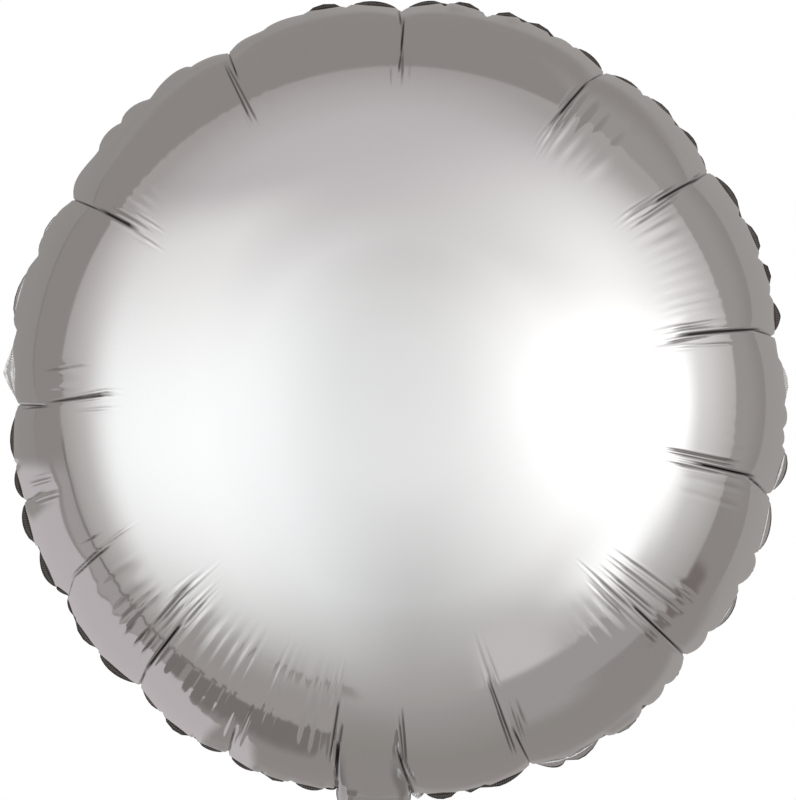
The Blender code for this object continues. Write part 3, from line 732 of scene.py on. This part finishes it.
def satinFoil():
    # aluminised nylon film, blown tight: a soft-edged mirror, warm grey, with dark shade painted into its
    # creases
    material, tree = newMaterial("satinAluminisedFilm")
    place = addNode(tree, "ShaderNodeTexCoord").outputs["Object"]
    # painted shade: the base colour turns dark along the folds and beside the neck's sides
    paintedFoldShading = addNode(tree, "ShaderNodeAttribute", {"attribute_name": "paintedFoldShading"})
    paintedLightTone = addNode(tree, "ShaderNodeMix", rgba, {
        0: paintedFoldShading.outputs["Fac"], 6: linearColour(film["colour"]), 7: linearColour(film["paintedFoldShadeColour"])})
    haze = addNode(tree, "ShaderNodeTexNoise", inputs={
        "Vector": place, "Scale": film["hazePerMetre"], "Detail": 3.0})
    (low, high), (smoothest, roughest) = film["hazeRange"], film["roughness"]
    rough = addNode(tree, "ShaderNodeMapRange", inputs={
        0: haze.outputs[0], 1: low, 2: high, 3: smoothest, 4: roughest})
    shader = addNode(tree, "ShaderNodeBsdfPrincipled", inputs={
        "Base Color": paintedLightTone.outputs[2], "Metallic": 1.0, "Roughness": rough.outputs[0]})
    addNode(tree, "ShaderNodeOutputMaterial", inputs={0: shader.outputs[0]})
    return material


def makeFilm(name, settings):
    obj = flatFilm(name)
    useTree(obj, inflate, settings)
    mesh = bakePiece(obj).data
    if sum(face.normal.y * face.area for face in mesh.polygons) * settings["Side"] < 0:
        mesh.flip_normals()
    wall = obj.modifiers.new("thickness", "SOLIDIFY")
    wall.thickness = film["thickness"]
    wall.offset = -1.0
    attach(bakePiece(obj), "root")
    return obj


inflating = {
    "Rim Wide": film["rimWide"], "Rim Tall": film["rimTall"], "Rim Turn": film["rimTurn"],
    "Middle Height": view["middle"], "Tail Face": neck["tailFace"], **film["blown"],
    "Side": -1.0, "Seed": 3.0, "Film": satinFoil(),
}
inflate = inflateTree(inflating)
frontFilm = makeFilm("front_film", inflating)
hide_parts("front_panel", "front_tail_film")
backFilm = makeFilm("back_film", {**inflating, "Side": 1.0, "Seed": 8.0})
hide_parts("back_panel", "back_tail_film")
print("front and back film", len(frontFilm.data.polygons), "faces each")


# Welded rim: both films pressed together past the weld line, dull and finely ribbed by the sealing tool

weldedRim = {
    "halfThickness": 0.00022,
    "underFilm": 0.0008,  # how far it reaches in under the film
    "flare": 0.0007, "flareTurn": 7.0,  # its edge strays this far out of its plane, so often round the rim
    "edgeLean": 1.5,  # the edge leans this many times as far as the film does
    "leastShown": 0.0002,  # an edge that stands out less is drawn in under the film
    "narrowest": 0.0006,  # its section is laid out as if at least this much showed
    # points over it from the inner to the outer edge, as shares of what shows, with how thick it is there
    "section": ((2.0, 1), (0.92, 1), (0.82, 1), (0.70, 1), (0.28, 1), (0.14, 1), (0.0, 0.5)),
    "paintedDarkOutline": (0.10, 0.25), "paintedWhiteLine": (0.71, 0.81),  # shares where the painted dark edge ends, and the painted white fold highlight lies
    "paintedGlintFrom": (0.85, 0.95),  # how pale a lobe is when a painted white highlight covers it all over
    "ribs": {  # twice as far apart as the real ones, so that they show
        "Rib Pitch": 0.0011, "Rib Width": 0.00045, "Rib Thickness": 0.00062,
        "Rib Length": 0.55, "Shortest Rib": 0.85, "Seed": 5,  # shares of what shows, and of that length
    },
    "ribSlant": 35.0,
    "ribRoom": 0.0004,  # they are at least as long as they would be on a weld of this width
    "tailWeld": 0.0036, "tailWeldAtRim": 0.35,  # its width, and the share of it where it leaves the rim
    # the tail welds are partly pale, between painted shade and painted reflection
    "tailRows": 60, "tailPaintedLight": 0.3,
    # painted shade: the dark weld colours, between and on its ribs; painted reflection: the pale weld
    # colours
    "paintedShadeColours": ("#1F1C1A", "#544F4C"), "paintedShadeRibColour": "#625D5A", "paintedReflectionColours": ("#7E7977", "#A39E9C"),
    # painted highlight: the white of the weld's glints
    "paintedGlintColour": "#FBFBFA", "roughness": 0.26,
    "paintedLightRange": (0.1, 0.65),  # how pale a lobe is where the weld turns from painted shade to painted reflection, and is all pale
    "grainPerMetre": 900.0,  # its grain of 1.1 mm is coarser than the real one, which would not show
    "bumpStrength": 0.25, "bumpHeight": 0.0002,
    "paintedGlintPatchesPerMetre": 320.0, "paintedGlintPatchRange": (0.40, 0.55), "paintedGlintPatchLeast": 0.55,  # a painted white highlight in patches of about 3 mm
}


def ribTree(settings):
    tree = makeTree("pressedRibs", settings)
    given = addNode(tree, "NodeGroupInput").outputs
    stored = {}
    for name, kind in (("path", "FLOAT"), ("outward", "FLOAT_VECTOR"), ("width", "FLOAT")):
        reader = addNode(tree, "GeometryNodeInputNamedAttribute", {"data_type": kind}, {"Name": name})
        stored[name] = reader.outputs["Attribute"]
    isPath = addNode(tree, "FunctionNodeCompare", {"data_type": "FLOAT", "operation": "GREATER_THAN"}, {
        0: stored["path"], 1: 0.5})
    parts = addNode(tree, "GeometryNodeSeparateGeometry", {"domain": "POINT"}, {
        "Geometry": given["Geometry"], "Selection": isPath.outputs[0]})
    line = addNode(tree, "GeometryNodeMeshToCurve", inputs={"Mesh": parts.outputs[0]})
    stations = addNode(tree, "GeometryNodeResampleCurve", {"mode": "LENGTH"}, {
        "Curve": line.outputs[0], "Length": given["Rib Pitch"]})
    size = addNode(tree, "ShaderNodeCombineXYZ", inputs={
        0: given["Rib Width"], 1: given["Rib Thickness"], 2: 1.0})
    bar = addNode(tree, "GeometryNodeMeshCube", inputs={"Size": size.outputs[0]})
    turned = addNode(tree, "FunctionNodeAxesToRotation", {"primary_axis": "Z", "secondary_axis": "Y"}, {
        0: stored["outward"], 1: (0.0, 1.0, 0.0)})
    uneven = addNode(tree, "FunctionNodeRandomValue", {"data_type": "FLOAT"}, {
        2: given["Shortest Rib"], 3: 1.0, "Seed": given["Seed"]})
    reach = addNode(tree, "ShaderNodeMath", multiply, {0: stored["width"], 1: uneven.outputs[1]})
    length = addNode(tree, "ShaderNodeMath", multiply, {0: reach.outputs[0], 1: given["Rib Length"]})
    scale = addNode(tree, "ShaderNodeCombineXYZ", inputs={0: 1.0, 1: 1.0, 2: length.outputs[0]})
    ribs = addNode(tree, "GeometryNodeInstanceOnPoints", inputs={
        "Points": stations.outputs[0], "Instance": bar.outputs[0], "Rotation": turned.outputs[0],
        "Scale": scale.outputs[0]})
    joined = addNode(tree, "GeometryNodeJoinGeometry")
    tree.links.new(ribs.outputs[0], joined.inputs[0])
    tree.links.new(parts.outputs[1], joined.inputs[0])
    real = addNode(tree, "GeometryNodeRealizeInstances", inputs={0: joined.outputs[0]})
    finish = addNode(tree, "GeometryNodeSetMaterial", inputs={
        "Geometry": real.outputs[0], "Material": given["Weld"]})
    addNode(tree, "NodeGroupOutput", inputs={0: finish.outputs[0]})
    return tree


def pressedWeld():
    # the same film sealed to itself by a ribbed tool: dull, with dark shade painted between and on its
    # ribs, a painted pale reflection on the lobes listed as pale, and a painted white highlight where it is
    # crumpled
    material, tree = newMaterial("heatSealedFilm")
    place = addNode(tree, "ShaderNodeTexCoord").outputs["Object"]
    stored = {name: addNode(tree, "ShaderNodeAttribute", {"attribute_name": name}).outputs["Fac"]
              for name in ("paintedLightTone", "glint", "path")}
    grain = addNode(tree, "ShaderNodeTexNoise", inputs={
        "Vector": place, "Scale": weldedRim["grainPerMetre"], "Detail": 2.0})
    shades = []
    for deep, high in (weldedRim["paintedShadeColours"], weldedRim["paintedReflectionColours"]):
        shades.append(addNode(tree, "ShaderNodeMix", rgba, {
            0: grain.outputs[0], 6: linearColour(deep), 7: linearColour(high)}).outputs[2])
    dark = addNode(tree, "ShaderNodeMix", rgba, {
        0: stored["path"], 6: shades[0], 7: linearColour(weldedRim["paintedShadeRibColour"])})
    dull, allPale = weldedRim["paintedLightRange"]
    # painted shade on dark lobes and painted reflection on pale lobes, mixed by how pale each lobe is
    # listed
    turned = addNode(tree, "ShaderNodeMapRange", smooth, {0: stored["paintedLightTone"], 1: dull, 2: allPale})
    paintedLightTone = addNode(tree, "ShaderNodeMix", rgba, {0: turned.outputs[0], 6: dark.outputs[2], 7: shades[1]})
    patches = addNode(tree, "ShaderNodeTexNoise", inputs={
        "Vector": place, "Scale": weldedRim["paintedGlintPatchesPerMetre"], "Detail": 2.0})
    thin, thick = weldedRim["paintedGlintPatchRange"]
    uneven = addNode(tree, "ShaderNodeMapRange", inputs={
        0: patches.outputs[0], 1: thin, 2: thick, 3: weldedRim["paintedGlintPatchLeast"]})
    # painted highlight: white and unmetallic where the glint attribute says, broken into patches
    paintedGlintShare = addNode(tree, "ShaderNodeMath", multiply, {0: stored["glint"], 1: uneven.outputs[0]})
    withPaintedGlint = addNode(tree, "ShaderNodeMix", rgba, {
        0: paintedGlintShare.outputs[0], 6: paintedLightTone.outputs[2], 7: linearColour(weldedRim["paintedGlintColour"])})
    metal = addNode(tree, "ShaderNodeMath", {"operation": "SUBTRACT"}, {0: 1.0, 1: paintedGlintShare.outputs[0]})
    bump = addNode(tree, "ShaderNodeBump", inputs={
        "Strength": weldedRim["bumpStrength"], "Distance": weldedRim["bumpHeight"],
        "Height": grain.outputs[0]})
    shader = addNode(tree, "ShaderNodeBsdfPrincipled", inputs={
        "Base Color": withPaintedGlint.outputs[2], "Metallic": metal.outputs[0], "Roughness": weldedRim["roughness"],
        "Normal": bump.outputs[0]})
    addNode(tree, "ShaderNodeOutputMaterial", inputs={0: shader.outputs[0]})
    return material


def makeWeld(name, inner, outer, shown, paintedLightTone, node):
    # a closed slab between two lines of points, and its ribs along a line half way over what shows of it
    spread = outer - inner
    width = np.linalg.norm(spread, axis=1)
    outward = spread / width[:, None]
    levels = [(level, weldedRim["halfThickness"] * thick) for level, thick in weldedRim["section"]]
    section = [(level, -height) for level, height in levels] + levels[::-1]
    points, glints, paintedLightTones = [], [], []
    for level, height in section:
        inward = level * np.maximum(shown, weldedRim["narrowest"]) / width
        share = 1 - np.minimum(inward, 0.5 + level / 4)  # the rows keep their order where little shows
        points.append(inner + spread * share[:, None] + np.array([0.0, height, 0.0]))
        # painted highlight: a white line near the film's edge on pale lobes, and white all over on the
        # palest
        paintedFoldShading = smoothStep(*weldedRim["paintedWhiteLine"], level) * (paintedLightTone > 0.5)
        # the weld takes its dark, shade-painted colour in a thin outline at its outer edge
        paintedLightTones.append(paintedLightTone * smoothStep(*weldedRim["paintedDarkOutline"], level))
        glints.append(np.maximum(paintedFoldShading, smoothStep(*weldedRim["paintedGlintFrom"], paintedLightTone)) * (height < 0))
    ribRoom = np.maximum(shown, weldedRim["ribRoom"])
    middle = outer - outward * ribRoom[:, None] * 0.5
    count, rows = len(inner), len(section)
    index = np.arange(rows * count).reshape(rows, count)
    over = np.roll(index, -1, axis=0)
    faces = facesBetween(index[:, :-1], index[:, 1:], over[:, 1:], over[:, :-1])
    faces += [index[:, 0].tolist(), index[::-1, -1].tolist()]
    wire = [[rows * count + i, rows * count + i + 1] for i in range(count - 1)]
    mesh = bpy.data.meshes.new(name)
    mesh.from_pydata(np.concatenate(points + [middle]).tolist(), wire, faces)
    shell = bmesh.new()
    shell.from_mesh(mesh)
    if shell.calc_volume(signed=True) < 0:  # the path ran the other way round
        mesh.flip_normals()
    shell.free()
    angle = math.radians(weldedRim["ribSlant"])
    along = np.stack([outward[:, 2], np.zeros(count), -outward[:, 0]], axis=1)
    storeOnPoints(mesh, {
        "path": np.concatenate([np.zeros(rows * count), np.ones(count)]),
        "width": np.tile(ribRoom, rows + 1),
        "paintedLightTone": np.concatenate(paintedLightTones + [paintedLightTone]),
        "glint": np.concatenate(glints + [np.zeros(count)]),
        "outward": np.tile(outward * math.cos(angle) + along * math.sin(angle), (rows + 1, 1)),
    })
    obj = newObject(name, mesh)
    useTree(obj, ribs, ribbing)
    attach(bakePiece(obj), "root")
    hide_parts(node)
    return obj


def makeRim():
    columns = filmColumns()
    kept = np.abs(turnBetween(columns, neck["angle"])) >= neck["halfAngle"] - 1e-6
    turn = np.sort((columns[kept] - neck["angle"]) % 360.0) + neck["angle"]
    turn = np.concatenate([turn[::2], turn[-1:]]) if len(turn) % 2 == 0 else turn[::2]
    rim = rimCurves(turn)
    shown = rim["edge"] - rim["crest"] - film["bulge"]
    edge = np.where(shown > weldedRim["leastShown"], rim["edge"], np.minimum(rim["edge"], rim["crest"]))
    turn = np.radians(turn)
    flare = weldedRim["flare"] * np.sin(turn * weldedRim["flareTurn"] + 2 * np.sin(turn * 3))
    inner, outer = (
        np.stack([reach * np.cos(turn), sideways, view["middle"] + reach * np.sin(turn)], axis=1)
        for reach, sideways in ((rim["radius"] + rim["weld"] - weldedRim["underFilm"], rim["wave"]),
                                (rim["radius"] + edge, rim["wave"] * weldedRim["edgeLean"] + flare)))
    return makeWeld("welded_rim", inner, outer, shown, rim["paintedWeldLight"], "rim_seam")


def makeTailWelds():
    # they begin narrower at the rim and widen to their full width where the tail is flat
    half, atRim = neck["tailWidth"] / 2, weldedRim["tailWeldAtRim"]
    heights = np.linspace(0.0, 1.0, weldedRim["tailRows"])
    for name, side in (("tail_weld_left", -1), ("tail_weld_right", 1)):
        turn = np.radians(neck["angle"] + side * neck["halfAngle"])
        rimX = film["rimTall"] * abs(math.cos(turn))
        rimZ = view["middle"] + film["rimTall"] * math.sin(turn)
        z = rimZ + (neck["tailEnd"] - rimZ) * heights
        narrowing = smoothStep(neck["narrowsBelow"], neck["tailFlatBelow"], z)
        outX = rimX + (half - rimX) * narrowing
        inX = outX - weldedRim["tailWeld"] * (atRim + (1 - atRim) * narrowing)
        inner, outer = (np.stack([side * x, np.zeros_like(z), z], axis=1) for x in (inX, outX))
        makeWeld(name, inner, outer, np.linalg.norm(outer - inner, axis=1),
                 np.full(len(z), weldedRim["tailPaintedLight"]), name.replace("weld", "seam"))


ribbing = {**weldedRim["ribs"], "Weld": pressedWeld()}
ribs = ribTree(ribbing)
rimPiece = makeRim()
makeTailWelds()
print("welded rim and tail welds", len(rimPiece.data.polygons), "faces in the rim")


# Valve: two clear films between the plies of the tail

valve = {
    "colours": ("#DDE3E5", "#F4F6F6"), "milkPerMetre": 220.0,  # in patches of about 4.5 mm
    "roughness": 0.22, "refraction": 1.51, "clearness": 0.7,
}


def clearFilm():
    # thin polyethylene tube: clear, slightly milky, with a soft gloss
    material, tree = newMaterial("clearPolyethyleneFilm")
    place = addNode(tree, "ShaderNodeTexCoord").outputs["Object"]
    milk = addNode(tree, "ShaderNodeTexNoise", inputs={
        "Vector": place, "Scale": valve["milkPerMetre"], "Detail": 2.0})
    milky, clear = valve["colours"]
    tint = addNode(tree, "ShaderNodeMix", rgba, {
        0: milk.outputs[0], 6: linearColour(milky), 7: linearColour(clear)})
    shader = addNode(tree, "ShaderNodeBsdfPrincipled", inputs={
        "Base Color": tint.outputs[2], "Roughness": valve["roughness"], "IOR": valve["refraction"],
        "Transmission Weight": valve["clearness"]})
    addNode(tree, "ShaderNodeOutputMaterial", inputs={0: shader.outputs[0]})
    return material


polyethylene = clearFilm()
for name in ("valve_front_film", "valve_back_film"):
    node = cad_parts[name]
    for slot in node.material_slots:
        slot.material = polyethylene
print("valve films")
